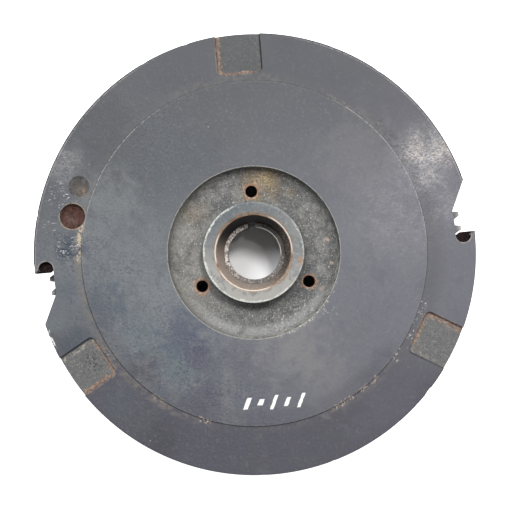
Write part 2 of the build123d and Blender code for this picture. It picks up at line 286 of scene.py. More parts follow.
def notch_cutters(hook):
    """The through notch with its ramp, the knot pocket and the slit beside the pocket's floor."""
    knee, end = hook + NOTCH_FLAT, hook + NOTCH_SPAN
    ramp_foot, ramp_end = polar(NOTCH_R, knee), polar(RIM_R, end)
    ramp = (ramp_end - ramp_foot) / np.linalg.norm(ramp_end - ramp_foot)
    outline = [ramp_end + ramp * 6] + arc(NOTCH_R, knee, hook, 14) + [polar(RIM_R + 9, hook)]
    through = stack("notch", outline, [
        (FLANGE_Z - 2, 0.2), (FLANGE_Z, BREAK), (FLANGE_Z + BREAK, 0),
        (RING_Z - BREAK, 0), (RING_Z, BREAK), (DISC_Z + PAST, BREAK + 0.1),
    ])
    lag = hook - POCKET_LAG
    centre = polar(POCKET_CENTRE_R, lag)
    bowl = arc(POCKET_R, lag + 180, lag + 360, 24, centre)
    pocket_outline = [polar(NOTCH_R - 0.2, hook + 0.5)] + bowl + [polar(RIM_R + 0.4, hook + 0.1)]
    floor = RING_Z - POCKET_DEPTH
    pocket = stack("pocket", pocket_outline, [
        (floor, -0.3), (floor + 0.4, 0), (RING_Z - BREAK, 0), (RING_Z, BREAK), (RING_Z + PAST, BREAK),
    ])
    slit_outline = [
        polar(SLIT_R, hook + 0.4), polar(NOTCH_R - 0.1, hook + 0.4),
        polar(NOTCH_R, hook - SLIT_LAG), polar(SLIT_R, hook),
    ]
    slit = stack("slit", slit_outline, [(FLANGE_Z - 2, 0), (RING_Z + 3, 0)])
    return [through, pocket, slit]


def puller_cutter(angle):
    """Tapped hole: its wall steps in and out once a pitch, below a countersunk mouth."""
    z = HUB_WEB_Z - PAST
    outline = [(0, z)]
    while z < DISH_Z - 1.2:
        outline += [(PULLER_R, z), (PULLER_R + THREAD_DEPTH, z + THREAD_PITCH / 2)]
        z += THREAD_PITCH
    root = PULLER_R + THREAD_DEPTH
    outline += [(PULLER_R, z), (root + 0.3, DISH_Z), (root + 0.9, DISH_Z + 6), (0, DISH_Z + 6)]
    return spindle("puller", outline, 40, polar(PULLER_PCD / 2, angle))


def drilling_cutter():
    """Blind hole with the floor that a drill's point leaves."""
    tip = DRILL_R / math.tan(math.radians(DRILL_POINT / 2))
    floor = RING_Z - DRILL_DEPTH
    return spindle("drilling", [
        (0, floor - tip), (DRILL_R, floor), (DRILL_R, RING_Z - BREAK),
        (DRILL_R + BREAK, RING_Z), (DRILL_R + BREAK, RING_Z + PAST), (0, RING_Z + PAST),
    ], 72, polar(DRILLING_R, DRILLING_ANGLE))


def dimple_cutter():
    """Shallow round-bottomed bowl with a soft lip."""
    outline = [(0, RING_Z - DIMPLE_DEPTH)]
    for k in range(1, 11):
        share = k / 10
        depth = DIMPLE_DEPTH * math.sqrt(1 - share ** 2) * (1 - 0.15 * share)
        outline.append((DIMPLE_R * share, RING_Z - depth))
    lip = DIMPLE_R + BREAK
    outline += [(lip, RING_Z + 0.1), (lip, RING_Z + PAST), (0, RING_Z + PAST)]
    return spindle("dimple", outline, 56, polar(DIMPLE_CENTRE_R, DIMPLE_ANGLE))


def keyway_cutter():
    out = TAPER_R + KEY_DEPTH
    corners = [(0, -KEY_W / 2), (out, -KEY_W / 2), (out, KEY_W / 2), (0, KEY_W / 2)]
    outline = [swung(x, y, KEY_ANGLE) for x, y in corners]
    return stack("keyway", outline, [(HUB_END_Z - 2, 0), (SEAT_Z + 1, 0)])


def ripple(piece):
    """Makes the turned faces a little uneven, and dents the rim's edge with knocks."""
    points = np.zeros(len(piece.data.vertices) * 3)
    piece.data.vertices.foreach_get("co", points)
    points = points.reshape(-1, 3) / MM
    for p in points:
        x, y, z = p
        r = math.hypot(x, y)
        if z > RING_Z - 1.5 and r > DISH_R + 2:
            slow = noise.noise(Vector((x / 38, y / 38, 3.1)))
            quick = noise.noise(Vector((x / 7, y / 7, 7.7)))
            ease = min(1.0, (r - DISH_R - 2) / 6)
            p[2] += ease * (SLOW_RIPPLE * slow + (RING_RIPPLE if r > DISC_R else DISC_RIPPLE) * quick)
        elif DISH_Z - 0.5 < z < DISC_Z - 0.8 and BOSS_R + 1 < r < DISH_R - 1:
            p[2] += DISH_RIPPLE * noise.noise(Vector((x / 5, y / 5, 1.3)))
        if r > RIM_R - 1.2 and z > RING_Z - 1.2:
            knock = max(0.0, noise.noise(Vector((x / 6, y / 6, 21.0))) - 0.35)
            p[:2] *= 1 - KNOCK_IN * knock / RIM_R
            p[2] -= KNOCK_DOWN * knock
    piece.data.vertices.foreach_set("co", (points * MM).ravel())
    piece.data.update()


def make_body():
    body = lathe("flywheel_casting", rounded(body_outline(), STEP), SEGMENTS, math.radians(START))
    ripple(body)
    cutters = [keyway_cutter(), drilling_cutter(), dimple_cutter()]
    cutters += [*map(puller_cutter, PULLER_ANGLES), *map(pad_cutter, PAD_ANGLES)]
    for hook in HOOK_ANGLES:
        cutters += notch_cutters(hook)
    cut(body, cutters)
    smooth(body)
    return body


# ------------ material helpers

def through(name):
    """Method that puts a value and another through a math node."""
    return lambda value, other=0.0: value.paint.math(name, value, other)


class Value:
    """A number in a material's nodes, so that patterns can be written as arithmetic."""

    def __init__(self, paint, socket):
        self.paint, self.socket = paint, socket

    __add__ = __radd__ = through("ADD")
    __mul__ = __rmul__ = through("MULTIPLY")
    __sub__ = through("SUBTRACT")
    __abs__ = through("ABSOLUTE")
    least = through("MINIMUM")
    most = through("MAXIMUM")

    def __rsub__(self, other):
        return self.paint.math("SUBTRACT", other, self)

    def rise(self, low, high, start=0.0, end=1.0):
        """0 below low, 1 above high, smooth between."""
        ends = {"From Min": low, "From Max": high, "To Min": start, "To Max": end}
        node = self.paint.node("MapRange", {"Value": self, **ends}, interpolation_type="SMOOTHSTEP")
        return Value(self.paint, node.outputs["Result"])

    def fall(self, low, high):
        """1 below low, 0 above high, smooth between."""
        return self.rise(low, high, 1.0, 0.0)

    def band(self, centre, half, soft):
        """1 within half of centre, smooth to 0 over soft beyond."""
        return abs(self - centre).fall(half, half + soft)


class Paint:
    """A material under construction, with its colour so far. Places in it are in mm in the row frame."""

    def __init__(self, name):
        self.material = bpy.data.materials.new(name)
        self.material.use_nodes = True
        self.tree = self.material.node_tree
        self.surface = self.tree.nodes["Principled BSDF"]
        metres = self.node("TexCoord", {}).outputs["Object"]
        self.place = self.vector_math("MULTIPLY", metres, (1 / MM, 1 / MM, 1 / MM))
        split = self.node("SeparateXYZ", {0: self.place})
        self.x, self.y, self.z = (Value(self, split.outputs[k]) for k in range(3))
        self.flat = self.vector_math("MULTIPLY", self.place, (1.0, 1.0, 0.0))
        self.outward = self.vector_math("NORMALIZE", self.flat)
        self.colour = None
        self.bumps = None

    def plug(self, node, inputs):
        """Links each value to its socket, or sets it there when it is the same all over."""
        for name, value in inputs.items():
            socket = node.inputs[name]
            if isinstance(value, Value):
                value = value.socket
            if isinstance(value, bpy.types.NodeSocket):
                self.tree.links.new(value, socket)
            elif socket.type == "RGBA":
                socket.default_value = (*value, 1.0)
            else:
                socket.default_value = value

    def node(self, kind, inputs, **settings):
        """New node with its settings made and its inputs plugged."""
        node = self.tree.nodes.new("ShaderNode" + kind)
        for name, setting in settings.items():
            setattr(node, name, setting)
        self.plug(node, inputs)
        return node

    def math(self, operation, a, b=0.0):
        return Value(self, self.node("Math", {0: a, 1: b}, operation=operation).outputs[0])

    def vector_math(self, operation, vector, constant=(0.0, 0.0, 0.0), output="Vector"):
        return self.node("VectorMath", {0: vector, 1: constant}, operation=operation).outputs[output]

    def radius(self, x=0.0, y=0.0):
        """Distance from an upright line."""
        return Value(self, self.vector_math("DISTANCE", self.flat, (x, y, 0.0), "Value"))

    def near(self, distance, bearing):
        """Distance from an upright line at a distance and a bearing from the axis."""
        return self.radius(*polar(distance, bearing))

    def spots(self, *places):
        """Sum of round spots: distance and bearing, full within, gone beyond, strength."""
        total = 0.0
        for distance, bearing, full, gone, strength in places:
            total = self.near(distance, bearing).fall(full, gone) * strength + total
        return total

    def dot(self, vector, degrees):
        """How far a vector goes in a direction."""
        return Value(self, self.vector_math("DOT_PRODUCT", vector, (*polar(1, degrees), 0.0), "Value"))

    def along(self, degrees):
        """Distance along a direction from the axis."""
        return self.dot(self.flat, degrees)

    def arc(self, centre, half, soft):
        """1 within half of a bearing, in degrees, smooth to 0 over soft beyond."""
        outer, inner = math.cos(math.radians(half + soft)), math.cos(math.radians(half))
        return self.dot(self.outward, centre).rise(outer, inner)

    def arcs(self, *stretches):
        """Sum of stretches round the axis: bearing, half, soft, strength."""
        total = 0.0
        for centre, half, soft, strength in stretches:
            total = self.arc(centre, half, soft) * strength + total
        return total

    def bearing(self, degrees):
        """Degrees from a direction, -180 to 180, positive anticlockwise."""
        return self.math("ARCTAN2", self.along(degrees + 90), self.along(degrees)) * (180 / math.pi)

    def noise(self, size, detail=2.0, roughness=0.5, distortion=0.0, seed=0, stretch=None):
        """Noise from about 0.3 to 0.7 with features of a size in mm."""
        node = self.node("TexNoise", {
            "Vector": self.vector_math("MULTIPLY", self.place, stretch) if stretch else self.place,
            "W": seed, "Scale": 1 / size,
            "Detail": detail, "Roughness": roughness, "Distortion": distortion,
        }, noise_dimensions="4D")
        return Value(self, node.outputs["Fac"])

    def cells(self, size, seed):
        """Distance from the nearest of scattered points, 0 at each."""
        inputs = {"Vector": self.place, "W": seed, "Scale": 1 / size}
        return Value(self, self.node("TexVoronoi", inputs, voronoi_dimensions="4D").outputs["Distance"])

    def turned(self, size):
        """Noise drawn out round the axis, as a lathe tool leaves it."""
        place = self.node("CombineXYZ", {0: self.radius(), 1: self.z, 2: self.bearing(0.0) * 0.02})
        node = self.node("TexNoise", {"Vector": place.outputs[0], "Scale": 1 / size, "Detail": 3.0})
        return Value(self, node.outputs["Fac"])

    def blend(self, share, a, b):
        """Number b over number a."""
        return (b - a) * share + a

    def mix(self, share, a, b):
        """Colour b over colour a."""
        return self.node("Mix", {0: share, 6: a, 7: b}, data_type="RGBA").outputs[2]

    def coated(self, colour, *coats):
        """Colour under coats of (share, tint)."""
        for share, tint in coats:
            colour = self.mix(share, colour, tint)
        return colour

    def over(self, share, tint):
        """A share of a tint over the colour so far."""
        self.colour = self.mix(share, self.colour, tint)

    def bump(self, height, depth):
        """Relief: height runs from 0 to 1, and depth is in mm."""
        inputs = {"Strength": 1.0, "Distance": depth * MM, "Height": height}
        if self.bumps is not None:
            inputs["Normal"] = self.bumps
        self.bumps = self.node("Bump", inputs).outputs["Normal"]

    def finish(self, roughness, metallic=0.0, specular=0.5):
        """The material, with the colour so far on its shader."""
        inputs = {
            "Base Color": self.colour, "Roughness": roughness,
            "Metallic": metallic, "Specular IOR Level": specular,
        }
        if self.bumps is not None:
            inputs["Normal"] = self.bumps
        self.plug(self.surface, inputs)
        return self.material


# ------------ materials

PAINT_LEFT = (0.119, 0.131, 0.14)
PAINT_RIGHT = (0.103, 0.103, 0.122)
# Painted shade: the colour the paint is darkened to at the top
PAINTED_SHADE_TOP = (0.06, 0.062, 0.07)
# The ring's own darker paint, also the colour of painted shade towards the bottom and in the orange peel's
# hollows
RING_PAINT_AND_SHADE = (0.054, 0.053, 0.066)
PAINT_DEEP = (0.04, 0.046, 0.07)
DUST = (0.13, 0.118, 0.1)
SPECK = (0.26, 0.26, 0.25)
RUST = (0.138, 0.088, 0.063)
TAN = (0.27, 0.212, 0.172)
RUST_DARK = (0.026, 0.01, 0.008)
DISH_GREY = (0.074, 0.075, 0.077)
DISH_PALE = (0.148, 0.147, 0.142)
DISH_BROWN = (0.135, 0.098, 0.056)
OIL_BROWN = (0.034, 0.022, 0.017)
# Soot in the pads' pits, and the colour of painted shade along edges
SOOT_AND_SHADE = (0.016, 0.014, 0.016)
BARE = (0.36, 0.33, 0.31)
MARKER = (0.75, 0.75, 0.73)

# Dabs of marker: lower end, upper end and half width of each
DABS = (
    (-87.5, -80.5, 0.9), (-85.5, -81.5, 1.1), (-88.0, -79.5, 0.6), (-86.5, -81.0, 0.8), (-87.5, -79.0, 0.6),
)
DABS_X, DABS_Y, DABS_GAP, DABS_LEAN = -7.0, -83.0, 7.4, 0.42

# How far rust reaches from the wall, dust along the clean side and pits of each pad
PAD_WEAR = ((1.6, 0.15, 0.0), (2.6, 1.0, 1.0), (3.6, 0.35, 0.0))


class Worn(Paint):
    """Paint under construction, with the patterns that its zones share."""

    def __init__(self, name, patch_size):
        super().__init__(name)
        self.r = self.radius()
        self.patches = self.noise(patch_size, 4, 0.62, 0.6, seed=4)
        self.flakes = self.noise(1.5, 3, 0.7, 0.5, seed=35)
        self.ragged = ragged_edge(self)

    def flake(self, share, low, high, tint):
        """A tint in flakes over a share of the colour so far."""
        self.over(self.flakes.rise(low, high) * share, tint)


def pad_masks(p):
    """Floors, rust, rust close to the wall, outlines, painted shade along the clean edges, dust inside
    those, pits of the pads.
    """
    floors, rust, deep, outline, line, dust, pits = (0.0,) * 7
    for centre, (reach, dusty, pitted) in zip(PAD_ANGLES, PAD_WEAR):
        across = p.along(centre + 90)
        rusty_side, clean_side = PAD_W / 2 - across, PAD_W / 2 + across
        inner = p.along(centre) - PAD_IN_R
        a = (PAD_CORNER - rusty_side.least(clean_side)).most(0.0)
        b = (PAD_CORNER - inner).most(0.0)
        within = PAD_CORNER - p.math("SQRT", a * a + b * b)
        floor = within.rise(-0.2, 0.3)
        floors = floor + floors
        side = rusty_side.least(inner + 0.3)
        rust = floor * (side - p.ragged * reach).fall(0.9, 2.0) * clean_side.rise(1.0, 7.0) + rust
        deep = floor * side.fall(0.5, 1.6) + deep
        outline = abs(within - 0.1).fall(0.3, 0.8) * clean_side.rise(1.5, 3.0) + outline
        # Painted shade: a dark line along the clean side's wall
        line = within.rise(-0.8, -0.3) * abs(clean_side - 0.1).fall(0.1, 0.6) + line
        dust = floor * abs(clean_side - 2.2).fall(0.5, 2.0) * dusty + dust
        if pitted:
            pits = floor * p.near(PAD_IN_R + 9, centre).fall(3, 9) * pitted + pits
    return floors, rust, deep, outline, line, dust, pits


def marker_dabs(p):
    """Five slanting dabs of a workshop's paint marker, of uneven length and width."""
    wobble = p.noise(2.4, 3, 0.6, seed=31) - 0.5
    dabs = 0.0
    for i, (low, high, half) in enumerate(DABS):
        line = abs(p.x - (p.y - DABS_Y) * DABS_LEAN - (DABS_X + i * DABS_GAP)) + wobble
        length = p.y.rise(low, low + 0.8) * p.y.fall(high - 0.8, high)
        dabs = line.fall(half, half + 0.6) * length + dabs
    return dabs.least(1.0)


def ragged_edge(p):
    """0 to 1 in irregular patches a few millimetres across, to tear the edges of stains."""
    return p.noise(3.2, 4, 0.65, 0.3, seed=12).rise(0.36, 0.68)


# Stains in the paint, and one painted sheen on the disc at (80, 41): distance and bearing from the axis,
# reach, strength, colour
STAINS_AND_SHEEN = (
    (72, 178, 34, 0.60, (0.121, 0.133, 0.141)),
    (70, 128, 32, 0.70, (0.068, 0.079, 0.086)),
    (88, 160, 24, 0.75, (0.125, 0.134, 0.140)),
    (60, 201, 17, 0.70, (0.130, 0.142, 0.152)),
    (74, 206, 13, 0.60, (0.110, 0.108, 0.118)),
    (74, 214, 24, 0.60, (0.092, 0.116, 0.128)),
    (88, 197, 15, 0.75, (0.058, 0.072, 0.092)),
    (61, 226, 17, 0.90, (0.058, 0.068, 0.100)),
    (78, 236, 16, 0.75, (0.080, 0.104, 0.116)),
    (90, 224, 11, 0.85, (0.046, 0.044, 0.054)),
    (65, 240, 12, 0.85, (0.058, 0.058, 0.086)),
    (86, 248, 14, 0.80, (0.062, 0.060, 0.082)),
    (61, 264, 14, 0.60, (0.078, 0.076, 0.100)),
    (58, 290, 26, 0.85, (0.140, 0.140, 0.147)),
    # painted sheen on the disc, running in from the sheen clouds by the rim
    (80, 41, 28, 0.32, (0.138, 0.138, 0.140)),
    (80, 297, 22, 0.55, (0.124, 0.124, 0.130)),
    (74, 350, 9, 0.35, (0.078, 0.090, 0.105)),
    (118, 241, 16, 0.70, (0.036, 0.036, 0.044)),
    (110, 136, 20, 0.50, (0.050, 0.051, 0.057)),
    (117, 196, 11, 0.70, (0.096, 0.112, 0.122)),
    (114, 204, 10, 0.80, (0.044, 0.056, 0.070)),
    (108, 188, 9, 0.55, (0.060, 0.076, 0.092)),
    (113, 308, 26, 0.75, (0.066, 0.065, 0.082)),
    (112, 226, 12, 0.50, (0.058, 0.068, 0.080)),
)


def cloudy_paint(p, ring, wander):
    """Teal to the left, purple to the right, with painted shade at the top and towards the bottom; smeared
    and stained to the lower left, with one painted sheen among the stains.
    """
    p.colour = p.mix(p.along(0).rise(-90, 70), PAINT_LEFT, PAINT_RIGHT)
    # Painted shade: the face darker towards the top
    p.over((p.along(105) + p.patches * 30).rise(2, 102) * 0.88, PAINTED_SHADE_TOP)
    # The ring's own darker paint, with painted shade darkening ring and disc towards the bottom
    lower = p.along(262).rise(10, 95)
    p.over((ring * (0.12 + lower * 0.88) + lower * 0.25).least(1.0), RING_PAINT_AND_SHADE)
    thin = p.along(218).rise(20, 80) * (1 - ring * 0.85)
    smears = p.noise(12, 4, 0.62, 1.4, seed=41, stretch=(1.0, 0.55, 1.0))
    p.over(thin * smears.rise(0.48, 0.58) * 0.55, (0.056, 0.062, 0.086))
    p.over(thin * smears.fall(0.38, 0.47) * 0.45, (0.146, 0.152, 0.155))
    # Stains, and the one painted sheen, over the paint
    for distance, bearing, reach, strength, stain in STAINS_AND_SHEEN:
        near = p.near(distance, bearing) + wander * reach
        p.over(near.fall(reach * 0.2, reach * 1.1) * strength, stain)


def specks(p, ring, leather, grain):
    """Mottling at the lower left, painted shade and painted highlights on the dimpled orange peel at the
    left, grain, bare specks and scuffs.
    """
    mottled = p.along(222).rise(30, 62) * p.patches.rise(0.42, 0.6)
    p.over(mottled * p.noise(1.2, 2, 0.7, seed=7).rise(0.5, 0.6) * 0.6, PAINT_DEEP)
    p.over(p.patches.fall(0.36, 0.48) * 0.2, RING_PAINT_AND_SHADE)
    dimples = p.noise(1.0, 2, 0.6, 0.4, seed=8)
    # Painted shade in the hollows of the orange peel
    p.over(leather * dimples.rise(0.48, 0.66) * 0.26, RING_PAINT_AND_SHADE)
    # Painted highlights: light flecks on the orange peel
    p.over(leather * dimples.fall(0.34, 0.46) * 0.14, (0.18, 0.19, 0.195))
    p.over(grain.rise(0.52, 0.74) * 0.34 * (1 - ring * 0.4), (0.16, 0.16, 0.165))
    p.over(grain.fall(0.28, 0.46) * 0.26, RING_PAINT_AND_SHADE)
    p.over(p.cells(8.0, seed=14).fall(0.035, 0.06) * 0.8, SPECK)
    peppered = p.near(62, 312).fall(4, 34)
    p.over(p.cells(4.0, seed=15).fall(0.06, 0.1) * peppered * 0.8, (0.42, 0.41, 0.39))
    p.flake(p.near(54, 318).fall(2, 9) * 0.6, 0.56, 0.64, (0.28, 0.29, 0.29))


def painted_sheen(p, wander):
    """Clouds of thick paint by the rim, with their sheen and highlights painted in as colour; returns how
    thick they are.
    """
    sheen = p.spots(
        (110, 26, 5, 26, 1.0), (84, 12, 4, 42, 0.27), (118.5, 152, 2, 18, 0.5), (112, 10, 3, 17, 0.3),
    )
    bright = p.spots((107, 29.5, 1, 13, 1.0), (120.5, 25, 2, 12, 1.0), (107, 21, 0, 9, 0.6))
    bright = (bright + wander * 0.24 - 0.12).most(0.0).least(1.0)
    streaks = p.noise(1.5, 4, 0.7, 1.2, seed=34, stretch=(1.0, 1.6, 1.0)).rise(0.44, 0.6)
    veils = p.noise(9.0, 3, 0.6, 0.8, seed=33).rise(0.38, 0.62)
    streaked = streaks * (veils * 0.55 + 0.27) + veils * 0.14
    # Painted sheen in streaky clouds
    p.over((sheen * streaked).least(1.0), (0.31, 0.305, 0.305))
    # Painted highlights at the brightest spots of the sheen
    p.over(bright * (streaks * 0.42 + veils * 0.03), (0.55, 0.455, 0.4))
    pitted = p.r.band(DISC_R + 3.5, 1.5, 3.0) * p.arc(28, 14, 10)
    p.over(pitted * p.noise(1.3, 3, 0.7, seed=36).rise(0.48, 0.58) * 0.55, (0.046, 0.046, 0.05))
    return sheen


def step_of_disc(p, ring):
    """Dust beside the disc's edge; a painted highlight along the edge above, painted shade along and inside
    it below, chips mostly below, and painted shade on the ring beside the step at the right.
    """
    dusty = p.arcs((206, 30, 26, 0.8), (96, 12, 12, 0.5), (300, 22, 15, 0.3), (50, 12, 10, 0.15)) + 0.06
    p.over((p.r.band(DISC_R + 2.2, 1.0, 2.6) * dusty * p.ragged).least(1.0) * 0.75, DUST)
    # Painted highlight along the upper stretches of the disc's edge
    upper = (p.arcs((146, 18, 12, 1.0), (30, 20, 12, 1.0)) + 0.16).least(1.0)
    edge = p.r.band(DISC_R - 0.05, 0.18, 0.25)
    p.flake(edge * upper * 0.62, 0.38, 0.54, (0.34, 0.34, 0.33))
    # Painted shade inside the disc's edge along the bottom
    shade = p.r.band(DISC_R - 2.5, 2.0, 7.0) * (1 - ring) * p.arc(258, 52, 22)
    p.over(shade * 0.42, (0.058, 0.058, 0.072))
    # Painted shade in a dark line along the foot of the step, most at the bottom
    below = p.bearing(250).band(0, 55, 25) * 0.38 + 0.1
    p.over(p.r.band(DISC_R + 0.45, 0.15, 0.35) * below, SOOT_AND_SHADE)
    # Painted shade on the ring beside the step at the right
    shaded = p.r.band(DISC_R + 1.5, 1.0, 12.0) * ring * p.arc(348, 20, 14)
    p.over(shaded * 0.5, (0.058, 0.058, 0.066))
    chipped = p.arcs((303, 7, 4, 0.75), (251, 1.2, 1.2, 1.0), (55, 6, 5, 0.1), (234, 1, 2, 0.5)) + 0.03
    p.flake(p.r.band(DISC_R + 0.6, 0.9, 1.4) * chipped.least(1.0), 0.5, 0.58, (0.3, 0.245, 0.195))
    crumbs = p.r.band(DISC_R + 2.0, 1.0, 1.6) * p.arcs((331, 9, 4, 1.0), (212, 2, 2, 0.7))
    p.flake(crumbs * 0.85, 0.57, 0.62, (0.4, 0.38, 0.35))


def edges_of_face(p):
    """Painted highlight and painted shade along the rim's edge, nicks in it, chips and wear by the dish's
    lip.
    """
    edge_light = p.arcs((40, 28, 15, 1.0), (155, 30, 15, 1.0)).least(1.0)
    # Painted highlight along the rim's edge at the upper left and upper right, broken into flakes
    line = p.r.band(RIM_R - 1.1, 0.15, 0.35) * edge_light
    p.flake(line * 0.4, 0.36, 0.58, (0.3, 0.3, 0.3))
    # Painted shade in a dark line at the rim's very edge, darkest in the same stretches
    p.over(p.r.rise(RIM_R - 0.8, RIM_R - 0.4) * (edge_light * 0.85 + 0.1).least(1.0), SOOT_AND_SHADE)
    nicks = p.r.rise(RIM_R - 1.7, RIM_R - 1.1) * p.arc(200.5, 2.4, 1.2)
    p.flake(nicks, 0.5, 0.56, (0.62, 0.62, 0.58))
    p.flake(p.r.fall(DISH_R + 0.25, DISH_R + 0.55) * 0.75, 0.34, 0.5, (0.3, 0.3, 0.28))
    chips = p.r.fall(DISH_R + 0.8, DISH_R + 2.2) * p.arc(310, 20, 12)
    p.flake(chips, 0.54, 0.6, (0.45, 0.43, 0.37))


def rusty_pads(p, dirt, grit):
    """Granular floors, rust along one side and the inner edge, and painted shade along the clean side;
    returns where the floors are.
    """
    pads, rust, deep, outline, line, dust, pits = pad_masks(p)
    floor = p.mix(p.along(270).rise(-60, 0), (0.054, 0.056, 0.059), (0.086, 0.088, 0.09))
    gritty = pads * (0.3 + p.along(270).rise(-110, -40) * 0.7)
    p.over(pads * 0.9, floor)
    p.over(gritty * dirt.rise(0.42, 0.66), (0.106, 0.105, 0.103))
    p.over(gritty * grit.rise(0.55, 0.66) * 0.6, (0.23, 0.222, 0.212))
    p.over(gritty * grit.fall(0.34, 0.44) * 0.55, (0.036, 0.036, 0.038))
    p.over(pits * p.noise(1.4, 3, 0.6, seed=18).rise(0.52, 0.58) * 0.7, SOOT_AND_SHADE)
    p.flake(dust * 0.75, 0.48, 0.58, (0.3, 0.27, 0.23))
    p.over(rust * p.blend(dirt.rise(0.36, 0.56), 0.55, 0.9), RUST)
    flaked = p.flakes.rise(0.47, 0.58)
    p.over(rust * flaked * 0.65, TAN)
    p.over(rust * deep * (0.85 - flaked * 0.4), (0.105, 0.05, 0.036))
    p.over(outline * p.ragged.rise(0.1, 0.6) * 0.55, (0.24, 0.2, 0.17))
    # Painted shade along the clean side
    p.over(line * p.ragged.rise(-0.4, 0.5) * 0.6, SOOT_AND_SHADE)
    return pads


def balancing_marks(p, wander, dirt, grit):
    """Dirty dimple with painted light and a painted highlight, rusty drilling, and painted glints round
    them; returns where the paint is oily.
    """
    bowl = p.near(DIMPLE_CENTRE_R, DIMPLE_ANGLE)
    p.over(bowl.fall(DIMPLE_R - 2.0, DIMPLE_R + 0.6) * 0.85, (0.05, 0.042, 0.037))
    p.over(bowl.fall(DIMPLE_R - 1.4, DIMPLE_R + 0.4) * dirt.fall(0.36, 0.5) * 0.8, (0.026, 0.02, 0.017))
    # Rust brown on the dimple's lower-right side, painted lighter there where its wall faces the light
    low_side = p.near(DIMPLE_CENTRE_R - 3, DIMPLE_ANGLE + 1.4).fall(0, DIMPLE_R - 1)
    p.over(low_side * dirt.rise(0.4, 0.56), (0.17, 0.126, 0.094))
    # Painted highlight at the dimple's upper-right edge
    lit = p.near(DIMPLE_CENTRE_R - 2, DIMPLE_ANGLE - 2.2).fall(0, 3.0)
    p.over(lit * p.ragged * 0.5, (0.2, 0.21, 0.22))
    wet = p.near(104, 176).fall(4, 11)
    p.over(wet * wander.rise(-0.3, 0.2) * 0.85, (0.016, 0.024, 0.04))
    hole = p.near(DRILLING_R, DRILLING_ANGLE)
    # Painted glints: short bright strokes round the marks
    glints = p.spots((112, 161, 3, 13, 0.8), (115, 170, 2, 6, 1.0)) + wet
    glints = glints * hole.rise(DRILL_R + 1, DRILL_R + 2)
    strokes = p.noise(2.2, 2, 0.55, 1.6, seed=21, stretch=(0.6, 1.5, 1.0))
    p.over(glints * strokes.rise(0.6, 0.67) * 0.9, (0.52, 0.53, 0.54))
    tan_line = p.r.band(DISC_R + 1.6, 0.9, 0.9) * p.arc(172.5, 5.5, 3.5)
    p.flake(tan_line * 0.85, 0.45, 0.58, (0.4, 0.32, 0.23))
    p.over(hole.band(DRILL_R + 0.2, 0.25, 0.4) * p.ragged.rise(0.1, 0.6) * 0.8, (0.26, 0.2, 0.15))
    p.over(hole.fall(DRILL_R - 0.2, DRILL_R + 0.1), p.coated(
        RUST_DARK,
        (dirt.rise(0.38, 0.6), (0.072, 0.031, 0.023)), (grit.rise(0.58, 0.66) * 0.5, (0.2, 0.12, 0.09)),
    ))
    return wet


def pocket_lips(p):
    """Worn lips of the knot pockets."""
    for hook in HOOK_ANGLES:
        bowl = p.near(POCKET_CENTRE_R, hook - POCKET_LAG)
        lip = bowl.band(POCKET_R + 0.25, 0.25, 0.3) * p.bearing(hook).fall(-0.6, 0.4)
        p.over(lip * p.ragged.rise(0.0, 0.5) * 0.8, (0.26, 0.24, 0.22))


def painted_face():
    """Finish of the machined ring and the disc."""
    p = Worn("painted_face", 16)
    wander = (p.noise(11, 4, 0.6, 0.8, seed=6) - 0.5) * 3.0
    grain = p.noise(1.5, 3, 0.65, seed=2)
    dirt = p.noise(2.4, 4, 0.75, seed=17)
    grit = p.noise(0.9, 3, 0.7, seed=19)
    ring = p.r.rise(DISC_R - 0.2, DISC_R + 0.5)
    leather = p.along(190).rise(-20, 40) * (1 - ring * 0.5)

    cloudy_paint(p, ring, wander)
    specks(p, ring, leather, grain)
    sheen = painted_sheen(p, wander)
    step_of_disc(p, ring)
    edges_of_face(p)
    pads = rusty_pads(p, dirt, grit)
    wet = balancing_marks(p, wander, dirt, grit)
    pocket_lips(p)
    p.over(marker_dabs(p), MARKER)

    p.bump(grain * (leather * 0.8 + 0.2), 0.55)
    p.bump(p.noise(4.5, 3, 0.55, 0.5, seed=27), 0.14)
    thick = (sheen * 0.5 + pads * 0.7 + wet + 0.04).least(1.0)
    p.bump(p.noise(2.6, 3, 0.6, 0.8, seed=28) * thick, 0.45)
    clouds = p.noise(60, 2, 0.5, 0.4, seed=1).rise(0.3, 0.7)
    roughness = p.blend(clouds, 0.56, 0.64) - sheen.least(1.0) * 0.16 - wet * 0.2
    return p.finish(roughness, specular=0.25)


